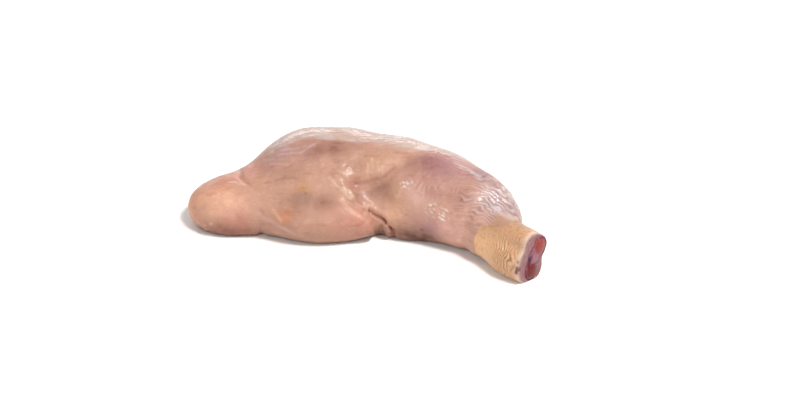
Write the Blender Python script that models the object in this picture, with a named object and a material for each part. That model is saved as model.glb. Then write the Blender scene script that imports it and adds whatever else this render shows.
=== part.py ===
# A raw chicken leg, thigh and drumstick in one skin, cut through at the hock and laid
# skin side up. Metres, +Z up; the origin is on the resting surface, under the leg's middle.
# The thigh is at -X, the cut end at +X, and the side where the knee folds at -Y.
import bpy
import numpy as np

for thing in list(bpy.data.objects):
    bpy.data.objects.remove(thing, do_unlink=True)

# Masses of flesh: each is an ellipsoid with its middle, its half sizes and its turn in degrees
THIGH = {"middle": (-0.0175, 0.0295, 0.011), "half": (0.055, 0.037, 0.0355), "turn": 4}
THIGH_BACK = {"middle": (-0.0335, 0.0325, 0.013), "half": (0.025, 0.028, 0.0285), "turn": 0}
APRON = {"middle": (-0.0235, 0.0035, 0.011), "half": (0.041, 0.027, 0.018), "turn": 2}
TONGUE = {"middle": (-0.0755, 0.011, 0.009), "half": (0.029, 0.024, 0.017), "turn": 7}
CALF_END = {"middle": (0.0699, -0.0158, 0.015), "half": (0.0210, 0.0175, 0.0135), "turn": -30}
KNEE_PAD = {"middle": (0.024, 0.0005, 0.008), "half": (0.0245, 0.017, 0.014), "turn": -20}
SHIN_FRONT = {"middle": (0.0505, -0.0155, 0.0115), "half": (0.022, 0.011, 0.0105), "turn": -30}
HEEL = {"middle": (0.0840, -0.0502, 0.0095), "half": (0.0148, 0.0094, 0.0092), "turn": -48}

# The drumstick's main muscle is a thick rod, fuller in its middle and a little flat
DRUM_ENDS = ((0.020, 0.0215, 0.018), (0.0645, -0.0055, 0.0175))
DRUM_RADII = (0.031, 0.0245)
DRUM_BULGE = 0.0025
BULGE_SPREAD = 0.28
DRUM_FLATNESS = 0.86

# The scaly shank under the skin's hem, and the plane that cuts it at the hock
SHANK = np.array((0.0690, -0.0295, 0.0158))
HOCK = np.array((0.0958, -0.0571, 0.0148))
CUT_TURN = -50
CUT_ROLL = 20
SHANK_SPREAD = 0.0045
SHANK_RADIUS = 0.0090
KNUCKLES = (
    {"up": 0.0062, "aside": 0.0008, "radius": 0.0076}, {"up": -0.0076, "aside": 0.0016, "radius": 0.0084})
TENDONS = (
    {"up": 0.0085, "aside": -0.0036, "radius": 0.0062}, {"up": -0.0005, "aside": -0.0024, "radius": 0.0070},
    {"up": 0.0005, "aside": 0.0006, "radius": 0.0066})

# The middle of the finished leg in the frame of the sizes here, which is laid over the origin
MIDDLE = np.array((-0.0003, 0.00085, 0.0))

# How widely one mass runs into the next
SOFT_BLEND = 0.012
TONGUE_BLEND = 0.015
FLESH_BLEND = 0.008
HEM_BLEND = 0.0035
KNUCKLE_BLEND = 0.003

# The middle line that every section of the leg is drawn from, tongue to hock
MIDDLE_LINE = (
    (-0.0825, 0.0115, 0.010), (-0.0585, 0.0125, 0.014), (-0.0265, 0.0175, 0.016),
    (0.0075, 0.0185, 0.018), (0.0335, 0.0105, 0.018), (0.0555, -0.0045, 0.017),
    (0.0745, -0.0305, 0.016), tuple(HOCK))

# Creases are pressed in along a line over the skin and folds stand proud of it
CREASES = (
    {"name": "tongue seam", "depth": 0.0012, "width": 0.0026, "line": (
        (-0.0743, 0.0248, 0.0260), (-0.0736, 0.0157, 0.0262), (-0.0722, 0.0117, 0.0262),
        (-0.0702, 0.0079, 0.0255), (-0.0671, 0.0048, 0.0245), (-0.0640, 0.0019, 0.0236))},
    {"name": "tongue foot", "depth": 0.0014, "width": 0.0030, "line": (
        (-0.0596, -0.0096, 0.0110), (-0.0593, -0.0106, 0.0070), (-0.0601, -0.0076, 0.0010))},
    {"name": "knee valley", "depth": 0.0024, "width": 0.0042, "line": (
        (0.0229, 0.0056, 0.0415), (0.0174, 0.0040, 0.0382), (0.0130, 0.0012, 0.0352),
        (0.0087, 0.0003, 0.0329), (0.0022, 0.0004, 0.0312), (-0.0049, -0.0007, 0.0300))},
    {"name": "knee crease", "depth": 0.0026, "width": 0.0022, "line": (
        (0.0033, -0.0108, 0.0177), (0.0082, -0.0118, 0.0148), (0.0113, -0.0119, 0.0131),
        (0.0144, -0.0128, 0.0100), (0.0166, -0.0146, 0.0078), (0.0174, -0.0141, 0.0030),
        (0.0171, -0.0111, 0.0))},
    {"name": "lobe edge", "depth": 0.0022, "width": 0.0022, "line": (
        (-0.0110, -0.0127, 0.0258), (-0.0035, -0.0131, 0.0217), (-0.0003, -0.0132, 0.0190),
        (0.0031, -0.0133, 0.0162), (0.0053, -0.0141, 0.0126), (0.0061, -0.0146, 0.0095),
        (0.0079, -0.0136, 0.0055), (0.0085, -0.0101, 0.0))},
    {"name": "knee notch", "depth": 0.0020, "width": 0.0032, "line": (
        (0.0085, -0.0126, 0.0105), (0.0097, -0.0121, 0.0045), (0.0097, -0.0101, 0.0))},
    {"name": "thigh edge", "depth": -0.0014, "width": 0.0028, "line": (
        (-0.0163, -0.0001, 0.0340), (-0.0134, -0.0020, 0.0337), (-0.0119, -0.0058, 0.0302),
        (-0.0079, -0.0076, 0.0285), (-0.0063, -0.0096, 0.0268))},
    {"name": "lobe belly", "depth": -0.0020, "width": 0.0060, "line": (
        (-0.0110, -0.0167, 0.0213), (-0.0034, -0.0178, 0.0154), (0.0000, -0.0172, 0.0090))},
)
HOLLOWS = (
    {"name": "knee hollow", "middle": (0.0045, -0.0070, 0.0270), "depth": 0.0026, "width": 0.0090},
    {"name": "thigh hollow", "middle": (-0.0280, -0.0135, 0.0250), "depth": 0.0016, "width": 0.0080},
)

# The shin bone: two knuckles side by side at the cut, a round shaft and a knob at the knee
SHAFT_ENDS = ((0.0135, 0.0155, 0.0205), (0.074, -0.0285, 0.017))
SHAFT_RADIUS = 0.0042
KNOB_RADIUS = 0.0085
BONE_UPPER = {"up": 0.0066, "aside": 0.0031, "radius": 0.0046}
BONE_LOWER = {"up": -0.0081, "aside": 0.0022, "radius": 0.0047}
BONE_MIDDLE = {"up": -0.0006, "aside": 0.0011, "radius": 0.0036}
KNUCKLE_TALLNESS = 1.26
MARROW_WALL = 0.0007
MARROW_DEPTH = 0.022
MARROW_STRAIGHT = 0.012
MARROW_TAPER = 0.4
PAST_CUT = 0.012
GAP = 0.00035
CUTTER_REACH = 0.004

LEG_RINGS, LEG_SPOKES, LEG_NOSE = 66, 48, 9
BONE_RINGS, BONE_SPOKES, BONE_NOSE = 24, 24, 4
MARROW_RINGS, MARROW_SPOKES, MARROW_NOSE = 7, 18, 3
CURVE_SAMPLES = 40
LONGEST_SPOKE = 0.095
MARCH_STEPS = 48
HALVINGS = 18
TURN_STRETCH = 0.034
TURN_OVER = 0.026
FLOOR_EASE = 0.0015
SMALLEST = 1e-6
UP = np.array((0.0, 0.0, 1.0))


def unit(vectors):
    return vectors / np.linalg.norm(vectors, axis=-1, keepdims=True)


# The cut's outward normal and its two axes: long runs from the lower knuckle to the upper one
cut_turn, cut_roll = np.radians((CUT_TURN, CUT_ROLL))
CUT_NORMAL = np.array((np.cos(cut_turn), np.sin(cut_turn), 0.0))
level = np.array((-np.sin(cut_turn), np.cos(cut_turn), 0.0))
CUT_LONG = np.cos(cut_roll) * UP + np.sin(cut_roll) * level
CUT_WIDE = np.cos(cut_roll) * level - np.sin(cut_roll) * UP


def ellipsoid(points, mass):
    """Distance to an ellipsoid, close to true near its skin and negative inside."""
    turn = np.radians(mass["turn"])
    local = points - np.array(mass["middle"])
    along = local[..., 0] * np.cos(turn) + local[..., 1] * np.sin(turn)
    across = local[..., 1] * np.cos(turn) - local[..., 0] * np.sin(turn)
    local = np.stack((along, across, local[..., 2]), axis=-1)
    half = np.array(mass["half"])
    near = np.linalg.norm(local / half, axis=-1)
    slope = np.linalg.norm(local / half ** 2, axis=-1)
    return near * (near - 1) / np.maximum(slope, SMALLEST)


def rod(points, ends, radii, bulge=0.0, flatness=1.0):
    """Distance to a round-ended rod whose radius runs from one value to another."""
    start, end = np.array(ends[0]), np.array(ends[1])
    length = np.linalg.norm(end - start)
    ahead = (end - start) / length
    side = unit(np.cross(UP, ahead))
    over = np.cross(ahead, side)
    offset = points - start
    along = offset @ ahead
    part = np.clip(along / length, 0, 1)
    past = np.maximum(np.maximum(along - length, -along), 0)
    radius = radii[0] + (radii[1] - radii[0]) * part
    radius = radius + bulge * np.exp(-((part - 0.5) / BULGE_SPREAD) ** 2)
    away = np.sqrt((offset @ side) ** 2 + ((offset @ over) / flatness) ** 2 + past ** 2)
    return away - radius


def blend(first, second, reach):
    """Union of two distances with a fillet about as wide as reach."""
    share = np.clip(0.5 + 0.5 * (second - first) / reach, 0, 1)
    return second + (first - second) * share - reach * share * (1 - share)


def distance_to_line(points, corners):
    nearest = None
    for start, end in zip(corners[:-1], corners[1:]):
        start, end = np.array(start), np.array(end)
        span = end - start
        part = np.clip((points - start) @ span / (span @ span), 0, 1)
        away = np.linalg.norm(points - start - part[..., None] * span, axis=-1)
        nearest = away if nearest is None else np.minimum(nearest, away)
    return nearest


def at_cut(knuckle):
    return HOCK + knuckle["up"] * CUT_LONG + knuckle["aside"] * CUT_WIDE


def flesh(points):
    """The skin's surface is where this is zero: muscles blended, then creased."""
    body = blend(ellipsoid(points, THIGH), ellipsoid(points, THIGH_BACK), SOFT_BLEND)
    body = blend(body, ellipsoid(points, APRON), SOFT_BLEND)
    body = blend(body, ellipsoid(points, TONGUE), TONGUE_BLEND)
    body = blend(body, rod(points, DRUM_ENDS, DRUM_RADII, DRUM_BULGE, DRUM_FLATNESS), FLESH_BLEND)
    for mass in (CALF_END, KNEE_PAD, SHIN_FRONT):
        body = blend(body, ellipsoid(points, mass), FLESH_BLEND)
    shank = None
    for cord in (*KNUCKLES, *TENDONS):
        start = SHANK + np.sign(cord["up"]) * SHANK_SPREAD * CUT_LONG
        strand = rod(points, (start, at_cut(cord)), (SHANK_RADIUS, cord["radius"]))
        shank = strand if shank is None else blend(shank, strand, KNUCKLE_BLEND)
    shank = blend(shank, ellipsoid(points, HEEL), FLESH_BLEND)
    body = blend(body, shank, HEM_BLEND)
    for crease in CREASES:
        away = distance_to_line(points, crease["line"])
        body = body + crease["depth"] * np.exp(-(away / crease["width"]) ** 2)
    for hollow in HOLLOWS:
        away = np.linalg.norm(points - np.array(hollow["middle"]), axis=-1)
        body = body + hollow["depth"] * np.exp(-(away / hollow["width"]) ** 2)
    return body


def shin_bone(points):
    shaft = rod(points, SHAFT_ENDS, (SHAFT_RADIUS, SHAFT_RADIUS))
    knob = np.linalg.norm(points - np.array(SHAFT_ENDS[0]), axis=-1) - KNOB_RADIUS
    bone = blend(shaft, knob, FLESH_BLEND)
    start = np.array(SHAFT_ENDS[1])
    for knuckle in (BONE_UPPER, BONE_MIDDLE, BONE_LOWER):
        end = at_cut(knuckle)
        past_cut = end + PAST_CUT * unit(end - start)
        arm = rod(points, (start, past_cut), (SHAFT_RADIUS, knuckle["radius"]), 0.0, KNUCKLE_TALLNESS)
        bone = blend(bone, arm, KNUCKLE_BLEND)
    return bone


def smooth_line(corners, count):
    """Evenly spaced points on a Catmull-Rom curve through the corners."""
    corners = np.array(corners)
    ends = (2 * corners[0] - corners[1], *corners, 2 * corners[-1] - corners[-2])
    fine = []
    for before, start, end, after in zip(ends[:-3], ends[1:-2], ends[2:-1], ends[3:]):
        part = np.linspace(0, 1, CURVE_SAMPLES)[:, None]
        fine.append(0.5 * (2 * start + (end - before) * part
                           + (2 * before - 5 * start + 4 * end - after) * part ** 2
                           + (3 * start - before - 3 * end + after) * part ** 3))
    fine = np.vstack(fine)
    walked = np.concatenate(((0,), np.cumsum(np.linalg.norm(np.diff(fine, axis=0), axis=1))))
    even = np.linspace(0, walked[-1], count)
    line = np.stack([np.interp(even, walked, fine[:, axis]) for axis in range(3)], axis=1)
    return line, even


def find_skin(field, corners, rings, spokes, nose):
    """Rings of points where spokes from a middle line leave the flesh.

    The spokes lie in planes square to the line. They turn into the cut's plane at the far
    end, and fan out over the near end, from which the first point is the tip.
    """
    line, walked = smooth_line(corners, rings)
    to_end = walked[-1] - walked
    turn = np.clip((TURN_STRETCH - to_end) / TURN_OVER, 0, 1)[:, None]
    turn = turn * turn * (3 - 2 * turn)
    ahead = unit(np.gradient(line, axis=0))
    ahead = unit(ahead * (1 - turn) + CUT_NORMAL * turn)
    side = unit(np.cross(UP, ahead))
    over = np.cross(ahead, side)
    angle = np.linspace(0, 2 * np.pi, spokes, endpoint=False)[:, None]
    spoke = side[:, None] * np.cos(angle) + over[:, None] * np.sin(angle)
    start = np.repeat(line[:, None], spokes, axis=1)
    tilt = np.radians(np.linspace(90, 0, nose, endpoint=False))[:, None, None]
    fan = spoke[0] * np.cos(tilt) - ahead[0] * np.sin(tilt)
    spoke = np.vstack((fan, spoke))
    start = np.vstack((np.repeat(start[:1], nose, axis=0), start))
    reach = np.linspace(0, LONGEST_SPOKE, MARCH_STEPS)
    outside = field(start[..., None, :] + spoke[..., None, :] * reach[:, None]) > 0
    first = np.maximum(outside.argmax(axis=-1), 1)
    near, far = reach[first - 1], reach[first]
    for _ in range(HALVINGS):
        middle = (near + far) / 2
        inside = field(start + spoke * middle[..., None]) < 0
        near, far = np.where(inside, middle, near), np.where(inside, far, middle)
    return start + spoke * far[..., None]


def rest_on_floor(points):
    """Flesh that would reach below the surface lies flat on it, with an eased edge."""
    height = points[..., 2]
    eased = (height + FLOOR_EASE) ** 2 / (4 * FLOOR_EASE)
    height = np.where(height > FLOOR_EASE, height, np.where(height < -FLOOR_EASE, 0, eased))
    return np.dstack((points[..., :2], height))


def solid(name, rings, colour, roughness):
    """One closed body: a tip, bands of faces between the rings and a flat end."""
    count, spokes = rings.shape[:2]
    vertices = np.vstack((rings[:1, 0], rings[1:].reshape(-1, 3))) - MIDDLE
    ring = 1 + np.arange((count - 1) * spokes).reshape(count - 1, spokes)
    here, beside = ring, np.roll(ring, -1, axis=1)
    faces = [(0, int(b), int(a)) for a, b in zip(here[0], beside[0])]
    bands = np.stack((here[:-1], beside[:-1], beside[1:], here[1:]), axis=-1)
    faces += bands.reshape(-1, 4).tolist()
    faces.append(ring[-1].tolist())
    mesh = bpy.data.meshes.new(name)
    mesh.from_pydata(vertices.tolist(), [], faces)
    mesh.update()
    mesh.shade_smooth()
    body = bpy.data.objects.new(name, mesh)
    bpy.context.scene.collection.objects.link(body)
    material = bpy.data.materials.new(name)
    material.use_nodes = True
    shader = material.node_tree.nodes["Principled BSDF"]
    shader.inputs["Base Color"].default_value = (*colour, 1)
    shader.inputs["Roughness"].default_value = roughness
    shader.inputs["Metallic"].default_value = 0
    mesh.materials.append(material)
    return body


def cut_away(body, cutter):
    cutter.hide_render = True
    cutter.display_type = "WIRE"
    socket = body.modifiers.new("socket", "BOOLEAN")
    socket.operation = "DIFFERENCE"
    socket.solver = "EXACT"
    socket.object = cutter


def grown(field, amount):
    return lambda points: field(points) - amount


def make_socket(name, field, corners, rings, spokes, nose):
    """A cutter that clears a piece by the gap all round and runs out past the cut."""
    skin = find_skin(grown(field, GAP), corners, rings, spokes, nose)
    mouth = skin[-1:] + CUTTER_REACH * CUT_NORMAL
    return solid(name, np.vstack((skin, mouth)), (0.5, 0.5, 0.5), 0.5)


def make_leg():
    skin = find_skin(flesh, MIDDLE_LINE, LEG_RINGS, LEG_SPOKES, LEG_NOSE)
    return solid("leg", rest_on_floor(skin), (0.62, 0.36, 0.26), 0.42)


def make_bone():
    knee, ankle = np.array(SHAFT_ENDS[0]), np.array(SHAFT_ENDS[1])
    corners = [tuple(knee + part * (ankle - knee)) for part in (0, 1 / 3, 2 / 3, 1)]
    corners.append(tuple(at_cut(BONE_MIDDLE)))
    rings = find_skin(shin_bone, corners, BONE_RINGS, BONE_SPOKES, BONE_NOSE)
    bone = solid("shin_bone", rings, (0.42, 0.20, 0.22), 0.35)
    return bone, make_socket("bone_socket", shin_bone, corners, BONE_RINGS, BONE_SPOKES, BONE_NOSE)


def make_marrow(name, knuckle, colour):
    """A red plug in one knuckle, tapering into the bone behind the cut."""
    end = at_cut(knuckle)
    into = unit(np.array(SHAFT_ENDS[1]) - end)
    start = end + MARROW_DEPTH * into
    radius = knuckle["radius"] - MARROW_WALL

    def plug(points):
        ends = (start, end - MARROW_STRAIGHT * into)
        return rod(points, ends, (MARROW_TAPER * radius, radius), 0.0, KNUCKLE_TALLNESS)

    corners = (tuple(start), tuple((start + end) / 2), tuple(end))
    rings = find_skin(plug, corners, MARROW_RINGS, MARROW_SPOKES, MARROW_NOSE)
    marrow = solid(name, rings, colour, 0.2)
    return marrow, make_socket(name + "_socket", plug, corners, MARROW_RINGS, MARROW_SPOKES, MARROW_NOSE)


leg = make_leg()
bone, bone_socket = make_bone()
cut_away(leg, bone_socket)
for marrow_name, marrow_knuckle, marrow_colour in (
        ("marrow_upper", BONE_UPPER, (0.38, 0.06, 0.045)),
        ("marrow_lower", BONE_LOWER, (0.22, 0.02, 0.025))):
    marrow, marrow_socket = make_marrow(marrow_name, marrow_knuckle, marrow_colour)
    cut_away(bone, marrow_socket)
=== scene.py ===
# A raw chicken leg in its skin, thigh to the left and cut hock to the right, on a pale floor.
# Lengths are in metres. Each piece has one dictionary of its sizes beside the code that uses it.
import math

import bpy
import numpy as np
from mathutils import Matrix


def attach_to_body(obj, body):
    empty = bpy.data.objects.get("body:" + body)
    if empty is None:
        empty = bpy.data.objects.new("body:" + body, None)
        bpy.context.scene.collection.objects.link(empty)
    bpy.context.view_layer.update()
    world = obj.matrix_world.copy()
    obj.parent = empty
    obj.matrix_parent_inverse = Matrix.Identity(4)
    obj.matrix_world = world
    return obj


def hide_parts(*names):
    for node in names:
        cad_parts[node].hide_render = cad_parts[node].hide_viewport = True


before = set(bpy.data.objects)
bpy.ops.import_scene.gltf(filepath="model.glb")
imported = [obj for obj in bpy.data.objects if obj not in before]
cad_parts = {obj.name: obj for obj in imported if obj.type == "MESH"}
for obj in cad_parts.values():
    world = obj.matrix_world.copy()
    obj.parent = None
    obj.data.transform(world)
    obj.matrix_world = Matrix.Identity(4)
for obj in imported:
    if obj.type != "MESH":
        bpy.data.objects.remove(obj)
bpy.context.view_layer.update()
print("frame loaded:", ", ".join(sorted(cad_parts)))

upward = np.array((0.0, 0.0, 1.0))
bulgeSpread = 0.28  # the share of a rod's length over which its bulge fades
search = {  # how finely lines are walked and the skin is looked for along the spokes
    "curveSamples": 40, "walkSamples": 4000,
    "rowStep": 6, "columnStep": 4, "marches": 56, "slackMarches": 2.5, "halvings": 13,
    "slopeStep": 0.00025,
}


# Shared tools: noise, distances and the search for a skin along spokes

def unit(vectors):
    return vectors / np.maximum(np.linalg.norm(vectors, axis=-1, keepdims=True), 1e-12)


def easeStep(values, low, high):  # 0 below low, 1 above high, with flat ends
    part = np.clip((values - low) / (high - low), 0, 1)
    return part * part * (3 - 2 * part)


def hashed(cells, seed):  # a repeatable number from 0 to 1 for each whole-numbered cell
    cell = cells.astype(np.int64)
    mixed = (cell[..., 0] * 73856093) ^ (cell[..., 1] * 19349663) ^ (cell[..., 2] * 83492791)
    mixed = (mixed ^ (seed * 6542989)) & 0xFFFFFFFF
    mixed = ((mixed ^ (mixed >> 15)) * 2246822519) & 0xFFFFFFFF
    mixed = ((mixed ^ (mixed >> 13)) * 3266489917) & 0xFFFFFFFF
    return ((mixed ^ (mixed >> 16)) & 0xFFFFFF) / 0xFFFFFF


# Gradient noise: each grid corner leans a random way, and eight leans are mixed; about -1 to 1
def noise(points, period, seed):
    place = points / period
    cell = np.floor(place)
    local = place - cell
    ease = local ** 3 * (local * (local * 6 - 15) + 10)
    total = np.zeros(points.shape[:-1])
    for corner in np.ndindex(2, 2, 2):
        corner = np.array(corner)
        turn = hashed(cell + corner, seed) * 2 * np.pi
        lift = hashed(cell + corner, seed + 71) * 2 - 1
        flat = np.sqrt(1 - lift ** 2)
        lean = np.stack((flat * np.cos(turn), flat * np.sin(turn), lift), axis=-1)
        share = np.prod(np.where(corner, ease, 1 - ease), axis=-1)
        total += share * np.sum(lean * (local - corner), axis=-1)
    return total * 1.5


# Cell noise: distance to the nearest of the random dots, one dot in each cell, in cells
def cells(points, period, seed):
    place = points / period
    cell = np.floor(place)
    nearest = np.full(points.shape[:-1], 9.0)
    for step in np.ndindex(3, 3, 3):
        other = cell + np.array(step) - 1
        dot = np.stack([hashed(other, seed + axis) for axis in range(3)], axis=-1)
        nearest = np.minimum(nearest, np.linalg.norm(other + dot - place, axis=-1))
    return nearest


def distanceToLine(points, corners):
    nearest = np.full(points.shape[:-1], 9.0)
    for start, end in zip(corners[:-1], corners[1:]):
        start, end = np.array(start), np.array(end)
        span = end - start
        part = np.clip((points - start) @ span / (span @ span), 0, 1)
        nearest = np.minimum(nearest, np.linalg.norm(points - start - part[..., None] * span, axis=-1))
    return nearest


def lineShare(points, line, width):  # 1 on the line, falling off as a bell curve over the width
    return np.exp(-(distanceToLine(points, line) / width) ** 2)


# Nearly the distance to an ellipsoid, negative inside
def ellipsoid(points, mass):
    turn = math.radians(mass["turn"])
    local = points - np.array(mass["middle"])
    along = local[..., 0] * math.cos(turn) + local[..., 1] * math.sin(turn)
    across = local[..., 1] * math.cos(turn) - local[..., 0] * math.sin(turn)
    local = np.stack((along, across, local[..., 2]), axis=-1)
    half = np.array(mass["half"])
    near = np.linalg.norm(local / half, axis=-1)
    return near * (near - 1) / np.maximum(np.linalg.norm(local / half ** 2, axis=-1), 1e-6)


# Distance to a round-ended rod whose radius runs from one value to another
def rod(points, start, end, radii, bulge=0.0, flatness=1.0):
    start, end = np.array(start), np.array(end)
    length = np.linalg.norm(end - start)
    ahead = (end - start) / length
    side = unit(np.cross(upward, ahead))
    over = np.cross(ahead, side)
    offset = points - start
    along = offset @ ahead
    part = np.clip(along / length, 0, 1)
    past = np.maximum(np.maximum(along - length, -along), 0)
    radius = radii[0] + (radii[1] - radii[0]) * part + bulge * np.exp(-((part - 0.5) / bulgeSpread) ** 2)
    return np.sqrt((offset @ side) ** 2 + ((offset @ over) / flatness) ** 2 + past ** 2) - radius


# Union of two distances with a fillet about as wide as reach
def blend(first, second, reach):
    share = np.clip(0.5 + 0.5 * (second - first) / reach, 0, 1)
    return second + (first - second) * share - reach * share * (1 - share)


# Points on a Catmull-Rom curve through the corners, closer together where the pitch is small
def smoothLine(corners, pitch):
    corners = np.array(corners)
    ends = (2 * corners[0] - corners[1], *corners, 2 * corners[-1] - corners[-2])
    fine = []
    for before, start, end, after in zip(ends[:-3], ends[1:-2], ends[2:-1], ends[3:]):
        part = np.linspace(0, 1, search["curveSamples"])[:, None]
        fine.append(0.5 * (2 * start + (end - before) * part
                           + (2 * before - 5 * start + 4 * end - after) * part ** 2
                           + (3 * start - before - 3 * end + after) * part ** 3))
    fine = np.vstack(fine)
    walked = np.concatenate(((0,), np.cumsum(np.linalg.norm(np.diff(fine, axis=0), axis=1))))
    dense = np.linspace(0, walked[-1], search["walkSamples"])
    step = np.interp(dense / walked[-1], pitch[0], pitch[1])
    steps = np.concatenate(((0,), np.cumsum(np.diff(dense) / step[1:])))
    wanted = np.linspace(0, steps[-1], int(round(steps[-1])) + 1)
    walk = np.interp(wanted, steps, dense)
    line = np.stack([np.interp(walk, walked, fine[:, axis]) for axis in range(3)], axis=1)
    return line, walk


# Rings of points where spokes from a middle line leave the flesh. The spokes lie in planes square
# to the line, turn into the cut's plane at the far end and fan out over the near end.
def findSkin(field, corners, pitch, angles, nose, longest):
    line, walk = smoothLine(corners, pitch)
    toEnd = walk[-1] - walk
    turn = easeStep(-toEnd, -cut["turnStretch"], cut["turnOver"] - cut["turnStretch"])[:, None]
    ahead = unit(np.gradient(line, axis=0))
    ahead = unit(ahead * (1 - turn) + cutNormal * turn)
    side = unit(np.cross(upward, ahead))
    over = np.cross(ahead, side)
    angle = np.asarray(angles)[:, None]
    spoke = side[:, None] * np.cos(angle) + over[:, None] * np.sin(angle)
    start = np.repeat(line[:, None], len(angles), axis=1)
    tilt = np.radians(np.linspace(90, 0, nose, endpoint=False))[:, None, None]
    spoke = np.vstack((spoke[0] * np.cos(tilt) - ahead[0] * np.sin(tilt), spoke))
    start = np.vstack((np.repeat(start[:1], nose, axis=0), start))
    return start + spoke * spokeLengths(field, start, spoke, longest)[..., None]


# The first place along each spoke where the field turns positive. Every few spokes are marched
# coarsely, what they find is spread over the rest, and halving then finds the place on each
def spokeLengths(field, start, spoke, longest):
    rows = np.unique(np.append(np.arange(0, start.shape[0], search["rowStep"]), start.shape[0] - 1))
    columns = np.arange(0, start.shape[1], search["columnStep"])
    reach = np.linspace(0, longest, search["marches"])
    rough, roughSpoke = start[rows][:, columns], spoke[rows][:, columns]
    outside = field(rough[..., None, :] + roughSpoke[..., None, :] * reach[:, None]) > 0
    found = reach[np.maximum(outside.argmax(axis=-1), 1)]
    found = np.hstack((found, found[:, :1]))
    allColumns = np.append(columns, start.shape[1])
    wide = np.stack([np.interp(np.arange(start.shape[1]), allColumns, row) for row in found])
    full = np.stack([np.interp(np.arange(start.shape[0]), rows, column) for column in wide.T], axis=1)
    slack = longest / (search["marches"] - 1) * search["slackMarches"]
    near, far = np.maximum(full - slack, 0), full + slack
    for _ in range(search["halvings"]):
        middle = (near + far) / 2
        inside = field(start + spoke * middle[..., None]) < 0
        near, far = np.where(inside, middle, near), np.where(inside, far, middle)
    return far


def outwardOf(field, points):  # the field's slope, which points out of the flesh
    step = search["slopeStep"]
    slope = [field(points + step * way) - field(points - step * way) for way in np.eye(3)]
    return unit(np.stack(slope, axis=-1))


# The cut at the hock

cut = {
    "hock": (0.0961, -0.05795, 0.0148),  # middle of the cut face
    "turn": -50,                        # the way the face looks, in degrees from +X
    "roll": 20,                         # how far the two knuckles lean from upright
    "turnStretch": 0.034,
    "turnOver": 0.026,
}
hock = np.array(cut["hock"])
cutNormal = np.array((math.cos(math.radians(cut["turn"])), math.sin(math.radians(cut["turn"])), 0.0))
cutLevel = np.array((-cutNormal[1], cutNormal[0], 0.0))
cutLong = math.cos(math.radians(cut["roll"])) * upward + math.sin(math.radians(cut["roll"])) * cutLevel
cutWide = math.cos(math.radians(cut["roll"])) * cutLevel - math.sin(math.radians(cut["roll"])) * upward


def atCut(up, across):
    return hock + up * cutLong + across * cutWide


# The skin-covered leg

leg = {
    "thigh": {"middle": (-0.0172, 0.02865, 0.011), "half": (0.055, 0.037, 0.0355), "turn": 4},
    "thighBack": {"middle": (-0.0332, 0.03165, 0.013), "half": (0.025, 0.028, 0.0285), "turn": 0},
    "apron": {"middle": (-0.0232, 0.00265, 0.011), "half": (0.041, 0.027, 0.018), "turn": 2},
    "tongue": {"middle": (-0.0752, 0.01015, 0.009), "half": (0.029, 0.024, 0.017), "turn": 7},
    "calfEnd": {"middle": (0.0710, -0.01785, 0.0145), "half": (0.0212, 0.0180, 0.0135), "turn": -30},
    "kneePad": {"middle": (0.0243, -0.00035, 0.008), "half": (0.0245, 0.017, 0.014), "turn": -20},
    "shinFront": {"middle": (0.0508, -0.01635, 0.0115), "half": (0.022, 0.011, 0.0105), "turn": -30},
    "heel": {"middle": (0.0843, -0.05075, 0.0095), "half": (0.0146, 0.0090, 0.0091), "turn": -48},
    "drumEnds": ((0.0203, 0.02065, 0.018), (0.0648, -0.00635, 0.0175)),
    "drumRadii": (0.031, 0.0245),
    "drumBulge": 0.0025,
    "drumFlatness": 0.86,
    "shank": (0.0693, -0.03035, 0.0158),
    "shankSpread": 0.0045,
    "shankRadius": 0.0090,
    "cords": (  # knuckles and tendons: up, across and radius at the cut
        (0.0062, 0.0008, 0.0076), (-0.0076, 0.0016, 0.0084), (0.0085, -0.0036, 0.0062),
        (-0.0005, -0.0024, 0.0070), (0.0005, 0.0006, 0.0066)),
    "softBlend": 0.012,
    "fleshBlend": 0.008,
    "tongueBlend": 0.015,
    "hemBlend": 0.0035,
    "knuckleBlend": 0.003,
    "middleLine": (
        (-0.0822, 0.01065, 0.010), (-0.0582, 0.01165, 0.014), (-0.0262, 0.01665, 0.016),
        (0.0078, 0.01765, 0.018), (0.0338, 0.00965, 0.018), (0.0558, -0.00535, 0.017),
        (0.0748, -0.03135, 0.016), cut["hock"]),
    "floorEase": 0.0015,
    "pitch": (  # how far apart the rings are, for each share of the middle line
        (0, 0.34, 0.40, 0.53, 0.60, 0.80, 1),
        (0.00075, 0.00070, 0.00048, 0.00048, 0.00055, 0.00045, 0.00042)),
    "spokes": 216, "noseRings": 42, "longest": 0.095,
    "fullest": 145,    # the way in which the spokes stand closest, in degrees round the line
    "sparsest": 0.3,   # and how close they stand the other way, as a share of that
    "noseFade": 0.004,
}

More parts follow.
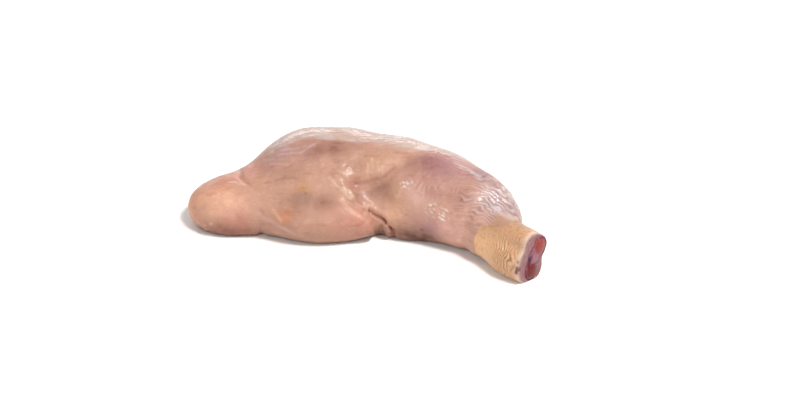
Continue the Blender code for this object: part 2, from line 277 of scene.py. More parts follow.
# Folds of the skin: how deep each is pressed in (or, below 0, how proud it stands), how wide it
# runs and the line it follows over the surface
folds = {
    "tongueSeam": (0.0011, 0.0020, (
        (-0.0740, 0.0240, 0.0260), (-0.0733, 0.0148, 0.0262), (-0.0719, 0.0108, 0.0262),
        (-0.0699, 0.0071, 0.0255), (-0.0668, 0.0040, 0.0245), (-0.0637, 0.0011, 0.0236))),
    "tongueFoot": (0.0014, 0.0030, (
        (-0.0593, -0.0105, 0.0110), (-0.0590, -0.0115, 0.0070), (-0.0598, -0.0085, 0.0010))),
    "kneeValley": (0.0024, 0.0042, (
        (0.0232, 0.0048, 0.0415), (0.0177, 0.0032, 0.0382), (0.0133, 0.0004, 0.0352),
        (0.0090, -0.0005, 0.0329), (0.0025, -0.0004, 0.0312), (-0.0046, -0.0016, 0.0300))),
    "kneeCrease": (0.0016, 0.0015, (
        (0.0036, -0.0117, 0.0177), (0.0049, -0.0122, 0.0169), (0.0085, -0.0127, 0.0148),
        (0.0116, -0.0128, 0.0131), (0.0147, -0.0137, 0.0100), (0.0169, -0.0155, 0.0078),
        (0.0177, -0.0150, 0.0030), (0.0174, -0.0120, 0.0))),
    "creaseTail": (0.0005, 0.0009, (
        (-0.0032, -0.0106, 0.0232), (0.0, -0.0105, 0.0211), (0.0036, -0.0117, 0.0177))),
    "lobeTop": (0.0012, 0.0014, (
        (-0.0107, -0.0136, 0.0258), (-0.0066, -0.0142, 0.0243), (-0.0032, -0.0140, 0.0217),
        (0.0, -0.0141, 0.0190))),
    "lobeEdge": (0.0021, 0.0014, (
        (0.0, -0.0141, 0.0190), (0.0034, -0.0142, 0.0162), (0.0056, -0.0150, 0.0126),
        (0.0064, -0.0155, 0.0095), (0.0082, -0.0145, 0.0055), (0.0088, -0.0110, 0.0))),
    "wedge": (0.0015, 0.0034, ((0.0088, -0.0135, 0.0105), (0.0100, -0.0130, 0.0050))),
    "notch": (0.0016, 0.0020, ((0.0098, -0.0128, 0.0040), (0.0100, -0.0110, 0.0))),
    "thighEdge": (-0.0014, 0.0028, (
        (-0.0160, -0.0010, 0.0340), (-0.0131, -0.0029, 0.0337), (-0.0116, -0.0067, 0.0302),
        (-0.0076, -0.0085, 0.0285), (-0.0060, -0.0105, 0.0268))),
    "lobeBelly": (-0.0020, 0.0060, (
        (-0.0107, -0.01755, 0.0213), (-0.0031, -0.01865, 0.0154), (0.0003, -0.01805, 0.0090))),
    "lobeTip": (-0.0016, 0.0032, ((0.0030, -0.0178, 0.0095), (0.0045, -0.0178, 0.0065))),
    "secondLeaf": (-0.0012, 0.0018, (
        (0.0124, -0.0142, 0.0095), (0.0140, -0.0146, 0.0060), (0.0150, -0.0135, 0.0030))),
    "calfFlat": (0.0024, 0.0095, ((0.0810, 0.0040, 0.0290), (0.0845, -0.0040, 0.0290))),
    "kneeHollow": (0.0026, 0.0090, ((0.0048, -0.00785, 0.0270), (0.0049, -0.00785, 0.0270))),
    "thighHollow": (0.0016, 0.0080, ((-0.0277, -0.01435, 0.0250), (-0.0276, -0.01435, 0.0250))),
}


# The muscles' distance: masses of flesh blended into one another
def bodyField(points):
    body = blend(ellipsoid(points, leg["thigh"]), ellipsoid(points, leg["thighBack"]), leg["softBlend"])
    body = blend(body, ellipsoid(points, leg["apron"]), leg["softBlend"])
    body = blend(body, ellipsoid(points, leg["tongue"]), leg["tongueBlend"])
    drum = rod(points, *leg["drumEnds"], leg["drumRadii"], leg["drumBulge"], leg["drumFlatness"])
    body = blend(body, drum, leg["fleshBlend"])
    for name in ("calfEnd", "kneePad", "shinFront"):
        body = blend(body, ellipsoid(points, leg[name]), leg["fleshBlend"])
    return body


# The shank's distance: knuckles and tendons run from under the calf to the cut
def shankField(points):
    shank = None
    for up, across, radius in leg["cords"]:
        start = np.array(leg["shank"]) + np.sign(up) * leg["shankSpread"] * cutLong
        cord = rod(points, start, atCut(up, across), (leg["shankRadius"], radius))
        shank = cord if shank is None else blend(shank, cord, leg["knuckleBlend"])
    return blend(shank, ellipsoid(points, leg["heel"]), leg["fleshBlend"])


# The leg's distance: body and shank blended, then pressed in along the folds. A fold adds its depth
# times a bell curve of the distance to its line
def fleshField(points):
    flesh = blend(bodyField(points), shankField(points), leg["hemBlend"])
    for depth, width, line in folds.values():
        flesh = flesh + depth * lineShare(points, line, width)
    return flesh


# Flesh that would reach below the floor lies flat on it, with an eased edge
def restOnFloor(points):
    ease = leg["floorEase"]
    height = points[..., 2]
    eased = (height + ease) ** 2 / (4 * ease)
    height = np.where(height > ease, height, np.where(height < -ease, 0, eased))
    return np.concatenate((points[..., :2], height[..., None]), axis=-1)


# Fine relief of the skin, in metres: how tall each kind is and how far apart its crests are. A bend
# is how far noise moves the crests, from far apart and from near by
relief = {
    "lumpHeight": 0.00035, "lumpPeriod": 0.016,
    "rippleHeight": 0.00014, "ripplePeriod": 0.0055,
    "grainHeight": 0.00005, "grainPeriod": 0.0018,
    "drawnHeight": 0.00024, "drawnPeriod": 0.0021, "drawnStretch": 5.0,
    "follicleHeight": 0.00012, "folliclePeriod": 0.0034,
    "calfHeight": 0.00042, "calfPeriod": 0.0025, "calfBend": (0.0036, 0.0016),
    "calfCentre": (0.0570, -0.0310, -0.0020), "calfAxis": (0.0, 0.866, -0.5),
    "crumpleHeight": 0.00032, "crumplePeriod": 0.0024,
    "flowHeight": 0.00018, "flowPeriod": 0.0024, "flowBend": (0.0025, 0.0006),
    "flowWay": (0.35, 0.9, 0.1),
    "striaePeriod": 0.0026, "striaeBend": (0.0032, 0.0014), "striaeWay": (0.87, -0.45, -0.25),
    "shankHeight": 0.00060, "shankPeriod": 0.0021,
    "scaleHeight": 0.00010, "scalePeriod": 0.0011,
    "dropHeight": 0.00038, "dropPeriod": 0.0015, "dropWay": (0.80, -0.45, -0.35), "dropStretch": 0.55,
}
bits = {  # small lumps that stand on the skin, and the colour that each kind is painted
    "frills": {
        "places": ((-0.0945, -0.0079, 0.0058), (-0.0929, -0.0092, 0.0070),
                   (-0.0926, -0.0083, 0.0037), (-0.0892, -0.0113, 0.0090)),
        "height": 0.0010, "reach": 0.0008, "colour": (248, 216, 188), "strength": 0.95},
    "nub": {
        "places": ((-0.0649, -0.0123, 0.0085), (-0.0642, -0.0120, 0.0093)),
        "height": 0.0018, "reach": 0.0011, "colour": (240, 198, 164), "strength": 0.95},
    "fat": {
        "places": ((-0.0131, -0.0029, 0.0337), (-0.0116, -0.0067, 0.0302),
                   (-0.0080, -0.0078, 0.0288), (-0.0068, -0.0100, 0.0268)),
        "height": 0.0005, "reach": 0.0014, "colour": (248, 220, 196), "strength": 0.6},
    "kneeLumps": {
        "places": ((0.0008, -0.0095, 0.0222), (0.0035, -0.0098, 0.0208), (0.0064, -0.0108, 0.0188)),
        "height": 0.0004, "reach": 0.0009, "colour": (232, 182, 156), "strength": 0.6},
}
areas = {  # middle and reach of the places where one kind of relief shows
    "calfWrinkles": ((0.0780, -0.0225, 0.0295), (0.017, 0.016, 0.014)),
    "calfCrumple": ((0.0860, -0.0200, 0.0270), (0.010, 0.016, 0.014)),
    "calfFlow": ((0.0610, -0.0030, 0.0395), (0.016, 0.010, 0.008)),
    "thighFlow": ((-0.0440, 0.0160, 0.0400), (0.024, 0.016, 0.014)),
    "ridge": ((0.0050, 0.0330, 0.0450), (0.070, 0.024, 0.016)),
    "wetOne": ((0.0248, -0.0094, 0.0345), (0.0040, 0.0040, 0.0034)),
    "wetTwo": ((0.0398, -0.0220, 0.0248), (0.0044, 0.0034, 0.0034)),
    "wetThree": ((0.0458, -0.0250, 0.0230), (0.0044, 0.0034, 0.0034)),
    "shankRings": ((0.0800, -0.0580, 0.0150), (0.0085, 0.0085, 0.0095)),
    "striae": ((0.0370, -0.0140, 0.0350), (0.017, 0.010, 0.010)),
}


# How far a point lies along the shank, from where it leaves the calf towards the cut
def alongShank(points):
    way = unit(hock - np.array(leg["shank"]))
    return (points - np.array(leg["shank"])) @ way


def smoothMask(points, middle, reach):  # 1 at the middle, fading over the reach
    return np.exp(-np.sum(((points - np.array(middle)) / np.array(reach)) ** 2, axis=-1))


# The hem of the soft skin: how far along the shank it reaches, for each place across the shank
hem = {
    "across": (-0.0111, -0.0102, -0.0087, -0.0076, -0.0059, -0.0044, -0.0022),
    "along": (0.0040, 0.0030, 0.0037, 0.0064, 0.0117, 0.0172, 0.0215),
    "ragged": 0.0005,
    "lift": 0.0004,           # how far the soft skin stands over the scaly skin
    "rise": (-0.006, 0.002),  # where along the shank the step comes up
}
# A pale strip of painted sheen along the ridge: its front edge, and how far it goes towards the back
sheenBand = {
    "x": (-0.0567, -0.0466, -0.0378, -0.0289, -0.0200, -0.0082, 0.0035, 0.0124, 0.0212, 0.0300,
          0.0388, 0.0475, 0.0551, 0.0620, 0.0680, 0.0735, 0.0780, 0.0830, 0.0880),
    "y": (0.0203, 0.0223, 0.0245, 0.0230, 0.0218, 0.0214, 0.0225, 0.0193, 0.0147, 0.0138,
          0.0136, 0.0118, 0.0112, 0.0108, 0.0075, 0.0020, -0.0025, -0.0070, -0.0120),
    "width": 0.019,
    "ragged": 0.0030,            # how far its threads reach over the edge
    "leftEnd": (-0.062, -0.050),  # where it fades in and out along the leg, and in height
    "rightEnd": (0.086, 0.094),
    "foot": (0.018, 0.030),
    "colour": (210, 192, 184),
    "strength": 0.75,
}


# How much of the painted sheen shows: full inside its two edges, broken into threads drawn along the leg
def sheenBandShare(points):
    x, y, z = np.moveaxis(points, -1, 0)
    past = y - np.interp(x, sheenBand["x"], sheenBand["y"]) + sheenBand["ragged"] * drawnNoise(points)
    share = easeStep(past, -0.0012, 0.0030) * (1 - easeStep(past, sheenBand["width"], 1.5 * sheenBand["width"]))
    share = share * np.clip(0.85 + 0.9 * drawnNoise(points + 0.01), 0.3, 1.1)
    share = share * easeStep(x, *sheenBand["leftEnd"]) * (1 - easeStep(x, *sheenBand["rightEnd"]))
    return share * easeStep(z, *sheenBand["foot"])


# Where each kind of skin shows, from 0 to 1: the yellow skin past the soft skin's hem, the
# wrinkles over the calf's end, the wet places, and the rest as the areas give it
def skinMasks(points):
    offset = points - np.array(leg["shank"])
    shankSide = unit(np.cross(upward, hock - np.array(leg["shank"])))
    edge = np.interp(offset @ shankSide, hem["across"], hem["along"])
    ragged = hem["ragged"] * noise(points, 0.003, 11)
    scaly = easeStep(alongShank(points) - edge + ragged, -0.0005, 0.0006)
    masks = {name: smoothMask(points, *place) for name, place in areas.items()}
    masks["scaly"] = scaly
    masks["calf"] = np.clip(masks["calfWrinkles"] + masks["calfCrumple"], 0, 1) * (1 - scaly)
    masks["drops"] = easeStep(masks["wetOne"] + masks["wetTwo"] + masks["wetThree"], 0.15, 0.65)
    wet = masks["drops"] + 0.35 * masks["calf"] + 0.5 * masks["ridge"]
    masks["wet"] = np.clip(wet, 0, 1) * (1 - scaly)
    masks["drawn"] = np.clip(masks["ridge"] + masks["thighFlow"], 0, 1) * (1 - scaly)
    return masks


# Waves over a distance, bent by noise so that no two crests are alike: 1 on a crest, -1 in a furrow
def waves(points, distance, period, bend, seed):
    bendFar, bendNear = bend
    place = distance + bendFar * noise(points, 5 * period, seed)
    place = place + bendNear * noise(points, 1.8 * period, seed + 1)
    return np.cos(place / period * 2 * np.pi)


def calfWaves(points):  # the wrinkles over the calf's end run in arcs round an axis
    axis = unit(np.array(relief["calfAxis"]))
    offset = points - np.array(relief["calfCentre"])
    offset = offset - (offset @ axis)[..., None] * axis
    return waves(points, np.linalg.norm(offset, axis=-1), relief["calfPeriod"], relief["calfBend"], 14)


def calfPatches(points):  # they are strong in some places and gone in others
    return np.clip(0.70 + 1.2 * noise(points, 0.0065, 16) + 0.5 * noise(points, 0.0028, 19), 0.1, 1.3)


def flowWaves(points):  # faint waves over the top of the drumstick
    place = points @ unit(np.array(relief["flowWay"]))
    return waves(points, place, relief["flowPeriod"], relief["flowBend"], 18)


def shankWaves(points):  # the shank's wrinkles are narrow furrows between broad crests
    place = alongShank(points) + 0.0040 * noise(points, 0.011, 20) + 0.0013 * noise(points, 0.0040, 23)
    return 2 * np.abs(np.cos(place / relief["shankPeriod"] * np.pi)) - 1


def shankPatches(points, masks):
    return np.clip(-0.10 + 1.3 * masks["shankRings"] + 0.8 * noise(points, 0.0048, 22), 0, 1.2)


def striae(points, masks):  # fine broken lines across the drumstick's front
    place = points @ unit(np.array(relief["striaeWay"]))
    broken = np.clip(0.2 + 1.4 * noise(points, 0.0050, 32), 0, 1)
    return waves(points, place, relief["striaePeriod"], relief["striaeBend"], 30) * broken * masks["striae"]


def drawnNoise(points):  # noise drawn out along the leg
    drawn = points * np.array((1 / relief["drawnStretch"], 1.0, 1.0))
    return noise(drawn + 0.0015 * noise(points, 0.012, 12)[..., None], relief["drawnPeriod"], 13)


def wetDrops(points):  # 1 on each long drop, 0 between them
    way = unit(np.array(relief["dropWay"]))
    drawn = points - relief["dropStretch"] * (points @ way)[..., None] * way
    return np.clip(1.55 - 2.7 * cells(drawn, relief["dropPeriod"], 24), 0, 1)


# Height of the relief over the smooth skin, in metres: soft lumps, ripples and follicles, skin
# drawn into lines along the ridge, wrinkles over the calf's end, rings and scales on the shank,
# the step of the hem, small lumps and drops of wet
def reliefHeight(points, masks):
    soft = 1 - masks["scaly"]
    height = relief["lumpHeight"] * noise(points, relief["lumpPeriod"], 1) * soft
    height = height + relief["rippleHeight"] * noise(points, relief["ripplePeriod"], 2) * soft
    height = height + relief["grainHeight"] * noise(points, relief["grainPeriod"], 3)
    height = height + relief["drawnHeight"] * drawnNoise(points) * masks["drawn"]
    height = height + hem["lift"] * soft * easeStep(alongShank(points), *hem["rise"])
    follicles = np.clip(0.55 - cells(points, relief["folliclePeriod"], 26), 0, 1) * 2
    height = height + relief["follicleHeight"] * follicles * soft
    wrinkles = masks["calfWrinkles"] * calfPatches(points) * calfWaves(points)
    height = height + relief["calfHeight"] * wrinkles * soft
    crumple = 1 - np.abs(noise(points, relief["crumplePeriod"], 17)) * 3
    height = height + relief["crumpleHeight"] * masks["calfCrumple"] * crumple * soft
    height = height + relief["flowHeight"] * masks["calfFlow"] * flowWaves(points) * soft
    rings = shankWaves(points) * shankPatches(points, masks)
    height = height + relief["shankHeight"] * masks["scaly"] * rings
    scales = np.minimum(cells(points, relief["scalePeriod"], 9), 0.8) - 0.4
    height = height - relief["scaleHeight"] * masks["scaly"] * scales
    for bit in bits.values():
        for place in bit["places"]:
            height = height + bit["height"] * smoothMask(points, place, bit["reach"])
    return height + relief["dropHeight"] * masks["drops"] * wetDrops(points) * soft


def spokeAngles(count, fullest, sparsest):  # closer together over the top than underneath
    dense = np.linspace(0, 2 * np.pi, 3600, endpoint=False)
    weight = sparsest + (1 - sparsest) * (0.5 + 0.5 * np.cos(dense - fullest)) ** 0.6
    walked = np.cumsum(weight)
    return np.interp(np.arange(count) / count * walked[-1], walked - weight, dense)


# One closed mesh from rings of points: a tip, bands between the rings and a last point
def ringMesh(name, tip, rings, last):
    count, spokes = rings.shape[:2]
    vertices = np.vstack((tip[None], rings.reshape(-1, 3), last[None]))
    ring = 1 + np.arange(count * spokes).reshape(count, spokes)
    beside = np.roll(ring, -1, axis=1)
    start = np.stack((np.zeros(spokes, int), beside[0], ring[0]), axis=-1)
    bands = np.stack((ring[:-1], beside[:-1], beside[1:], ring[1:]), axis=-1).reshape(-1, 4)
    end = np.stack((np.full(spokes, len(vertices) - 1), ring[-1], beside[-1]), axis=-1)
    mesh = bpy.data.meshes.new(name)
    mesh.from_pydata(vertices, [], start.tolist() + bands.tolist() + end.tolist())
    mesh.update()
    mesh.shade_smooth()
    piece = bpy.data.objects.new(name, mesh)
    bpy.context.scene.collection.objects.link(piece)
    return piece


def attach(piece, name, values):  # a number or a colour for each of the mesh's points
    values = np.asarray(values, dtype=np.float32)
    if values.ndim == 1:
        piece.data.attributes.new(name, "FLOAT", "POINT").data.foreach_set("value", values)
    else:
        full = np.hstack((values, np.ones((len(values), 1), np.float32)))
        piece.data.attributes.new(name, "FLOAT_COLOR", "POINT").data.foreach_set("color", full.ravel())


def tone(red, green, blue):  # a colour as it is seen, 0 to 255, made linear
    seen = np.array((red, green, blue)) / 255
    return np.where(seen < 0.04045, seen / 12.92, ((seen + 0.055) / 1.055) ** 2.4)


# Colours of the skin. A patch has its middle, its reach, its colour and its strength; a stroke has
# its line and its width instead of a middle and a reach. A wave has the colour and strength of its
# crests and of its furrows
skinTones = {
    "depth": 0.69,  # how dark all of the paint is laid on, as the light is strong
    "base": (212, 162, 139),
    "low": ((92, 42, 28), 0.88, 0.0022),  # painted shade close to the floor: its colour, strength and height
    "shank": (222, 172, 132),
    "shankPale": ((240, 206, 180), -0.0036, -0.0006),  # at the cut's rim, and where it comes in
    "shankSide": ((255, 204, 156), (0.068, -0.046, 0.012), (0.011, 0.011, 0.012)),
    "waves": {
        "striae": ((244, 200, 190), 0.40, (176, 114, 108), 0.30),
        # calf and shank wrinkles: paler crests and darker furrows, partly the skin's own tone and partly
        # painted highlight on the crests and painted shade in the furrows
        "calf": ((246, 236, 236), 0.65, (132, 98, 102), 0.50),
        "shank": ((248, 214, 170), 0.40, (146, 94, 62), 0.60),
    },
    # painted shade along the folds' lines: how strongly each is darkened, and the colour
    "creases": {"kneeCrease": 1.0, "creaseTail": 0.5, "lobeEdge": 0.25, "notch": 0.7},
    "crease": (140, 66, 44), "creaseWidth": 0.55,  # the painted shade's share of each fold's width
    # painted highlight: near-white glints laid on the wet drops
    "drops": ((255, 244, 240), 0.9),
    "patches": {
        "tongue": ((-0.083, 0.000, 0.015), (0.013, 0.014, 0.014), (262, 204, 170), 0.95),
        "tongueTop": ((-0.085, 0.011, 0.026), (0.014, 0.010, 0.006), (206, 132, 108), 0.75),
        "tongueTip": ((-0.102, 0.006, 0.010), (0.009, 0.014, 0.012), (264, 188, 150), 0.9),
        # painted shade under the tongue, close to the floor
        "tongueLowShade": ((-0.078, -0.012, 0.004), (0.018, 0.012, 0.008), (128, 66, 52), 0.9),
        # a mauve tint with painted shade on the tongue's lower right side
        "tongueMauve": ((-0.0738, -0.0125, 0.0120), (0.008, 0.006, 0.009), (196, 130, 112), 0.75),
        "seamRed": ((-0.0670, 0.0170, 0.0285), (0.008, 0.007, 0.006), (232, 160, 144), 0.7),
        "hemPink": ((0.0690, -0.0385, 0.0245), (0.009, 0.007, 0.007), (226, 172, 156), 0.6),
        "thighMauve": ((-0.046, 0.017, 0.039), (0.020, 0.012, 0.010), (196, 156, 154), 0.6),
        "thighLeft": ((-0.055, 0.013, 0.032), (0.010, 0.010, 0.008), (192, 142, 124), 0.6),
        "thighBrown": ((-0.018, 0.015, 0.044), (0.023, 0.009, 0.007), (150, 100, 86), 0.85),
        "thighRight": ((0.004, 0.008, 0.040), (0.020, 0.010, 0.010), (216, 168, 140), 0.7),
        # painted shade over the thigh's lower front
        "thighLowShade": ((-0.028, -0.021, 0.009), (0.028, 0.012, 0.009), (192, 146, 122), 0.8),
        # painted shade that dims the lamp's highlight on the thigh's upper front
        "thighGlare": ((-0.0070, 0.0062, 0.0383), (0.009, 0.006, 0.005), (176, 126, 104), 0.75),
        "apronLeft": ((-0.0430, -0.0170, 0.0190), (0.012, 0.009, 0.008), (176, 126, 104), 0.7),
        "thighMid": ((-0.040, 0.002, 0.034), (0.014, 0.012, 0.008), (188, 140, 118), 0.55),
        "fatSpotOne": ((-0.0610, 0.0067, 0.0266), (0.0035, 0.0035, 0.0035), (216, 164, 108), 0.5),
        "fatSpotTwo": ((-0.0352, -0.0055, 0.0297), (0.0040, 0.0034, 0.0040), (220, 162, 94), 0.65),
        "fatSpotDot": ((-0.0336, -0.0085, 0.0277), (0.0009, 0.0009, 0.0009), (140, 62, 44), 0.7),
        "fatSpotThree": ((-0.0454, -0.0181, 0.0177), (0.005, 0.004, 0.004), (226, 150, 106), 0.6),
        "bluePatch": ((-0.0363, -0.0100, 0.0262), (0.007, 0.005, 0.005), (168, 130, 108), 0.7),
        # painted shade in the hollow on the thigh's front
        "thighHollowShade": ((-0.0245, -0.0130, 0.0250), (0.013, 0.006, 0.006), (158, 112, 94), 0.75),
        "lobe": ((-0.0040, -0.0195, 0.0130), (0.014, 0.008, 0.011), (206, 142, 122), 0.9),
        "fatRidge": ((-0.0100, -0.0080, 0.0290), (0.0036, 0.0040, 0.0040), (222, 180, 152), 0.65),
        "thighShade": ((-0.0180, 0.0040, 0.0370), (0.0100, 0.0080, 0.0080), (190, 140, 116), 0.6),
        # painted shade in the knee's hollow
        "kneeHollow": ((0.0060, -0.0070, 0.0285), (0.012, 0.006, 0.007), (136, 90, 76), 0.88),
        "kneeRed": ((-0.0046, -0.0006, 0.0294), (0.003, 0.003, 0.003), (178, 100, 84), 0.6),
        "redBlob": ((0.0040, -0.0179, 0.0074), (0.0013, 0.0020, 0.0013), (164, 58, 52), 0.9),
        "kneeTan": ((0.0190, -0.0155, 0.0200), (0.007, 0.007, 0.014), (236, 184, 152), 0.85),
        "kneeTanHigh": ((0.0170, -0.0130, 0.0290), (0.005, 0.005, 0.006), (210, 158, 122), 0.5),
        "drumPale": ((0.0310, -0.0165, 0.0320), (0.008, 0.008, 0.008), (232, 188, 174), 0.75),
        "drumShade": ((0.0390, 0.0010, 0.0415), (0.011, 0.010, 0.008), (148, 94, 84), 0.9),
        "drumTop": ((0.050, 0.003, 0.042), (0.014, 0.010, 0.008), (170, 116, 120), 0.8),
        "drumMid": ((0.0443, -0.0160, 0.0345), (0.013, 0.009, 0.007), (174, 124, 112), 0.7),
        "drumMauve": ((0.0500, -0.0040, 0.0410), (0.020, 0.014, 0.008), (174, 126, 124), 0.6),
        "drumLeft": ((0.0560, -0.0225, 0.0320), (0.008, 0.008, 0.007), (172, 124, 112), 0.75),
        "drumPurple": ((0.0690, -0.0030, 0.0375), (0.007, 0.008, 0.006), (130, 80, 92), 0.95),
        "drumGlow": ((0.0560, 0.0050, 0.0410), (0.010, 0.006, 0.006), (206, 156, 152), 0.6),
        "drumFront": ((0.038, -0.0235, 0.015), (0.012, 0.007, 0.007), (196, 146, 146), 0.75),
        "drumPink": ((0.051, -0.029, 0.013), (0.010, 0.006, 0.008), (248, 190, 176), 0.8),
        # painted shade on the drumstick's lower front, close to the floor
        "drumLowShade": ((0.028, -0.021, 0.005), (0.022, 0.010, 0.008), (108, 62, 44), 0.97),
        "drumBack": ((0.060, -0.004, 0.039), (0.012, 0.009, 0.006), (178, 134, 138), 0.75),
        # painted shade in the notch under the knee, close to the floor
        "kneeNotchShade": ((0.0100, -0.0125, 0.0030), (0.0045, 0.004, 0.0045), (110, 56, 36), 0.8),
        "calfPale": ((0.080, -0.022, 0.030), (0.013, 0.016, 0.013), (188, 172, 178), 0.9),
        "redDot": ((0.0336, -0.0218, 0.0111), (0.0010, 0.0020, 0.0010), (140, 48, 56), 0.85),
    },
    "strokes": {
        "membraneDark": ((
            (-0.0597, -0.0115, 0.0186), (-0.0573, -0.0137, 0.0165), (-0.0543, -0.0163, 0.0133)),
                         0.0010, (172, 116, 98), 0.55),
        "membranePeach": ((
            (-0.0526, -0.0127, 0.0199), (-0.0502, -0.0158, 0.0177), (-0.0478, -0.0186, 0.0153)),
                          0.0012, (238, 186, 152), 0.6),
        "footLine": (((-0.0579, -0.0141, 0.0153), (-0.0531, -0.0168, 0.0135), (-0.0484, -0.0193, 0.0116),
                      (-0.0437, -0.0212, 0.0104), (-0.0403, -0.0219, 0.0087)),
                     0.0013, (234, 186, 172), 0.55),
        # painted highlight along the lobe's upper edge
        "lobeEdgeHighlight": (((-0.0134, -0.0125, 0.0259), (-0.0101, -0.0152, 0.0240), (-0.0066, -0.0179, 0.0217),
                      (-0.0014, -0.0189, 0.0182)), 0.0012, (248, 190, 168), 0.55),
        # painted highlight along the lobe's arc
        "lobeArcHighlight": (((-0.0066, -0.0190, 0.0209), (-0.0031, -0.0192, 0.0190), (0.0003, -0.0188, 0.0168),
                     (0.0026, -0.0184, 0.0145)), 0.0010, (246, 186, 160), 0.5),
        "lineOne": (((0.0025, 0.0069, 0.0389), (0.0025, 0.0031, 0.0357)), 0.0008, (240, 196, 168), 0.5),
        "lineTwo": (((0.0083, 0.0073, 0.0404), (0.0090, 0.0029, 0.0372)), 0.0008, (240, 196, 168), 0.5),
        "lineThree": (((0.0107, 0.0048, 0.0394), (0.0111, 0.0019, 0.0357)), 0.0008, (240, 196, 168), 0.45),
        "lineFour": (((0.0048, 0.0104, 0.0410), (0.0054, 0.0042, 0.0377)), 0.0008, (240, 196, 168), 0.4),
        "seamPeach": (((-0.0668, 0.0040, 0.0245), (-0.0637, 0.0011, 0.0236), (-0.0606, -0.0027, 0.0222)),
                      0.0011, (240, 196, 176), 0.7),
        "seamLine": (((-0.0733, 0.0148, 0.0256), (-0.0719, 0.0100, 0.0256), (-0.0695, 0.0062, 0.0245)),
                     0.0008, (186, 96, 80), 0.5),
        # painted highlight along the tongue's top
        "tongueHighlight": (((-0.0800, 0.0085, 0.0262), (-0.0758, 0.0081, 0.0262), (-0.0721, 0.0049, 0.0255)),
                       0.0007, (250, 212, 188), 0.7),
        "strip": (((-0.0196, -0.0010, 0.0343), (-0.0160, -0.0047, 0.0314), (-0.0114, -0.0081, 0.0291),
                   (-0.0078, -0.0114, 0.0269)), 0.0010, (246, 206, 180), 0.55),
        # painted sheen: these three lilac streaks stand for satin highlights on the thigh's skin folds
        "lilacSheenOne": (((-0.0494, 0.0175, 0.0393), (-0.0434, 0.0156, 0.0411), (-0.0369, 0.0141, 0.0425),
                      (-0.0290, 0.0191, 0.0454)), 0.0009, (222, 190, 192), 0.6),
        "lilacSheenTwo": (((-0.0489, 0.0206, 0.0404), (-0.0383, 0.0175, 0.0435)), 0.0009, (222, 186, 190), 0.6),
        "lilacSheenThree": (((-0.0597, 0.0201, 0.0336), (-0.0536, 0.0169, 0.0364), (-0.0475, 0.0138, 0.0385)),
                       0.0010, (218, 180, 184), 0.6),
        "peachLine": (((-0.0553, 0.0149, 0.0345), (-0.0498, 0.0120, 0.0364), (-0.0444, 0.0089, 0.0371)),
                      0.0010, (230, 184, 168), 0.6),
        "kneeShade": (((0.0177, 0.0037, 0.0382), (0.0133, 0.0010, 0.0352), (0.0090, 0.0003, 0.0329),
                       (0.0025, 0.0006, 0.0307), (-0.0046, -0.0006, 0.0294)), 0.0014, (154, 98, 80), 0.65),
        "calfStreak": (((0.0540, 0.0030, 0.0410), (0.0607, -0.0005, 0.0394), (0.0647, -0.0045, 0.0386),
                        (0.0672, -0.0095, 0.0380)), 0.0018, (226, 206, 194), 0.6),
        "edgeSpot": (((0.0868, -0.0648, 0.0085), (0.0872, -0.0648, 0.0118)),
                     0.0011, (124, 46, 34), 0.9),
        "edgeSpotSmall": (((0.0876, -0.0640, 0.0150), (0.0877, -0.0640, 0.0154)),
                          0.0008, (110, 52, 44), 0.85),
        "shankTop": (((0.0780, -0.0414, 0.0290), (0.0860, -0.0440, 0.0290), (0.0900, -0.0480, 0.0280)),
                     0.0055, (184, 140, 110), 0.75),
    },
}
cutTones = {  # colours of the cut face; places on it are up and across from its middle
    "edge": (204, 174, 162),  # the skin's own thickness at the rim
    "flesh": (162, 108, 108),
    "inner": (154, 92, 106),  # close to the bone
    "pale": ((198, 160, 158), 0.5),
    "spot": ((84, 30, 30), 0.9, (-0.0076, -0.0090), 0.0017),  # dried blood at the lower left
    "gristle": (154, 84, 104),
    "knuckles": {"upper": (162, 62, 56), "lower": (116, 14, 18)},
    "glint": ((186, 116, 146), (-0.0004, 0.0003), (0.0034, 0.0008)),
    "pit": ((44, 6, 24), (-0.0018, -0.0015), (0.0026, 0.0010)),
}


def mixIn(paint, colour, share):
    return paint + (np.asarray(colour) - paint) * np.clip(share, 0, 1)[..., None]


def paintWaves(paint, name, wave):  # crests in one colour, furrows in another
    crest, crestStrength, furrow, furrowStrength = skinTones["waves"][name]
    paint = mixIn(paint, tone(*crest), crestStrength * np.clip(wave, 0, 1))
    return mixIn(paint, tone(*furrow), furrowStrength * np.clip(-wave, 0, 1))


def paintYellow(points, masks):  # the scaly skin of the shank
    side, sideMiddle, sideReach = skinTones["shankSide"]
    pale, paleStart, paleEnd = skinTones["shankPale"]
    paint = np.broadcast_to(tone(*skinTones["shank"]), points.shape)
    paint = mixIn(paint, tone(*side), smoothMask(points, sideMiddle, sideReach))
    # paler crests and darker furrows: partly the skin's own tone, partly painted highlight and shade
    paint = paintWaves(paint, "shank", shankWaves(points) * shankPatches(points, masks))
    return mixIn(paint, tone(*pale), easeStep((points - hock) @ cutNormal, paleStart, paleEnd))


